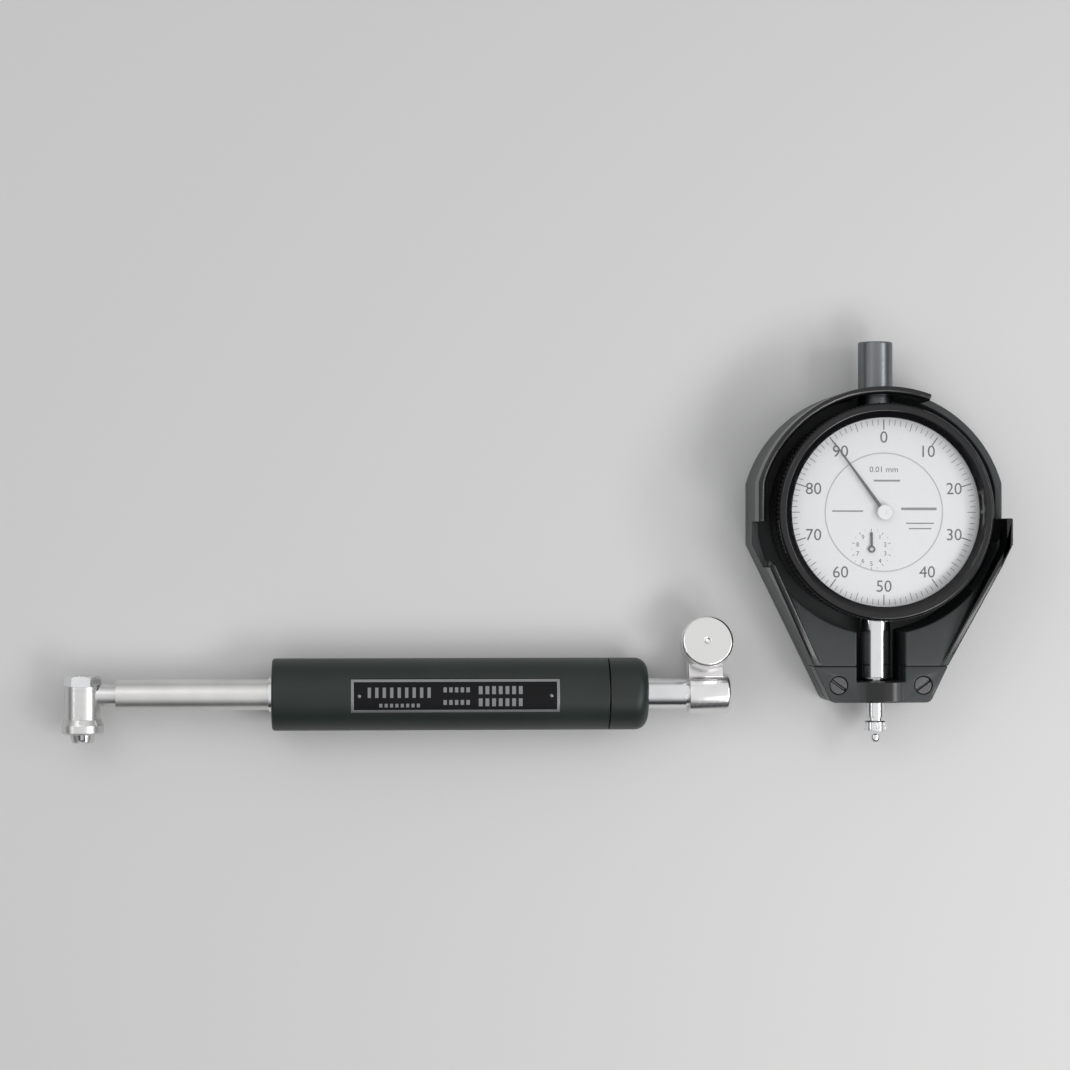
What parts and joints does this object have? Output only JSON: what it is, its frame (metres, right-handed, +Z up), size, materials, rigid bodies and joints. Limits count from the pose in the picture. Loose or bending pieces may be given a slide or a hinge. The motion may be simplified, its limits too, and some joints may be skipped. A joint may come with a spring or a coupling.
{
  "type": "dial bore gauge",
  "caption": "Dial bore gauge taken apart: measuring stem with a two-point head and sprung guide, and its dial indicator in a moulded guard.",
  "frame": {"origin": "on the table, under the middle of the bounding box of the stem and the dial together", "axes": "+X along the stem from the measuring head to the dial clamp, +Y from the contact's side of the head to the anvil's side (the way in which the contact and the dial's spindle are pressed), +Z up, out of the dial's face"},
  "size_m": [0.2494, 0.1072, 0.027],
  "materials": {
    "satin_steel": "satin turned steel",
    "chrome_plate": "polished plating",
    "bright_steel": "ground steel",
    "carbide": "polished hard metal",
    "spring_steel": "drawn wire",
    "brass": "satin brass",
    "core_alloy": "plain aluminium",
    "grip_plastic": "fine satin moulding",
    "nameplate": "black field with a bare border",
    "case_metal": "satin die casting",
    "cap_metal": "satin turned alloy",
    "bezel_black": "gloss black",
    "crystal_clear": "clear",
    "face_white": "matt white enamel with black print",
    "hand_black": "black enamel",
    "hub_white": "pale satin",
    "guard_plastic": "moulded satin black"
  },
  "bodies": {
    "root": {"anvil_nut": "chrome_plate", "anvil_seat": "satin_steel", "back_cover": "case_metal", "back_screws": "bright_steel", "bezel_wire": "spring_steel", "centre_disc": "face_white", "crank_pin": "bright_steel", "dial_case": "case_metal", "dial_clamp": "chrome_plate", "dial_stem": "chrome_plate", "front_rod_bush": "brass", "grip_core": "core_alloy", "grip_end": "grip_plastic", "grip_sleeve": "grip_plastic", "guard_bar": "guard_plastic", "guard_screws": "bright_steel", "guard_shell": "guard_plastic", "guide_spring": "spring_steel", "hairspring": "brass", "head_body": "satin_steel", "nameplate": "nameplate", "plate_pillars": "bright_steel", "plate_screws": "bright_steel", "plunger_bush": "brass", "rear_bridge": "brass", "rear_rod_bush": "brass", "rear_tube": "chrome_plate", "return_spring": "spring_steel", "rod_spring": "spring_steel", "spindle_cap": "cap_metal", "stem_tube": "satin_steel", "top_bush": "brass", "top_plate": "brass", "tube_collar": "chrome_plate"},
    "guide": {"guide": "satin_steel", "guide_pins": "satin_steel"},
    "plunger": {"plunger": "bright_steel", "contact_tip": "carbide"},
    "crank": {"bell_crank": "bright_steel"},
    "push_rod": {"push_rod": "bright_steel", "rod_button": "bright_steel", "rod_collar": "bright_steel"},
    "screw_travel": {"clamp_washer": "chrome_plate"},
    "clamp_screw": {"clamp_screw": "chrome_plate"},
    "spindle": {"spindle": "chrome_plate", "contact_point": "chrome_plate", "guide_arm": "bright_steel"},
    "counter": {"rack_pinion": "bright_steel", "counter_wheel": "brass", "counter_hand": "hand_black"},
    "centre": {"centre_pinion": "bright_steel", "pointer": "hand_black", "pointer_hub": "hub_white"},
    "hair_wheel": {"hair_wheel": "brass"},
    "bezel": {"bezel": "bezel_black", "crystal": "crystal_clear", "scale_ring": "face_white"}
  },
  "joints": [
    {"name": "contact_press", "type": "slide", "parent": "root", "child": "plunger", "axis": [0, 1, 0], "range_m": [0, 0.0012], "stiffness_N_per_m": 900, "springref_m": -0.003},
    {"name": "crank_turn", "type": "hinge", "parent": "root", "child": "crank", "pos_m": [-0.1166, -0.04275, 0.00955], "axis": [0, 0, 1], "range_deg": [-26.73, 0]},
    {"name": "rod_slide", "type": "slide", "parent": "root", "child": "push_rod", "axis": [1, 0, 0], "range_m": [0, 0.0012], "deforming": ["rod_spring"]},
    {"name": "guide_press", "type": "slide", "parent": "root", "child": "guide", "axis": [0, 1, 0], "range_m": [0, 0.001], "stiffness_N_per_m": 300, "springref_m": -0.004, "deforming": ["guide_spring"]},
    {"name": "clamp_screw_travel", "type": "slide", "parent": "root", "child": "screw_travel", "axis": [0, 0.2753, 0.9614], "range_m": [0, 0.0016]},
    {"name": "clamp_screw_turn", "type": "hinge", "parent": "screw_travel", "child": "clamp_screw", "pos_m": [0.0454, -0.02861, 0.00625], "axis": [0, 0.2753, 0.9614], "range_deg": [0, 722]},
    {"name": "spindle_press", "type": "slide", "parent": "root", "child": "spindle", "axis": [0, 1, 0], "range_m": [0, 0.01], "stiffness_N_per_m": 60, "springref_m": -0.012, "deforming": ["return_spring"]},
    {"name": "counter_turn", "type": "hinge", "parent": "root", "child": "counter", "pos_m": [0.0878, -0.00175, 0.01], "axis": [0, 0, 1], "range_deg": [0, 360.5]},
    {"name": "centre_turn", "type": "hinge", "parent": "root", "child": "centre", "pos_m": [0.0911, 0.00795, 0.01], "axis": [0, 0, 1], "range_deg": [-3605, 0]},
    {"name": "hair_wheel_turn", "type": "hinge", "parent": "root", "child": "hair_wheel", "pos_m": [0.09835, 0.0152, 0.01], "axis": [0, 0, 1], "range_deg": [0, 360.5], "deforming": ["hairspring"]},
    {"name": "bezel_turn", "type": "hinge", "parent": "root", "child": "bezel", "pos_m": [0.0911, 0.00795, 0.01], "axis": [0, 0, 1], "continuous": true}
  ],
  "couplings": [
    {"joint": "crank_turn", "follows": "contact_press", "rad_per_m": -388.11},
    {"joint": "rod_slide", "follows": "contact_press", "ratio": 1},
    {"joint": "clamp_screw_turn", "follows": "clamp_screw_travel", "rad_per_m": 7854},
    {"joint": "counter_turn", "follows": "spindle_press", "rad_per_m": 628.32},
    {"joint": "centre_turn", "follows": "spindle_press", "rad_per_m": -6283.2},
    {"joint": "hair_wheel_turn", "follows": "spindle_press", "rad_per_m": 628.32}
  ]
}
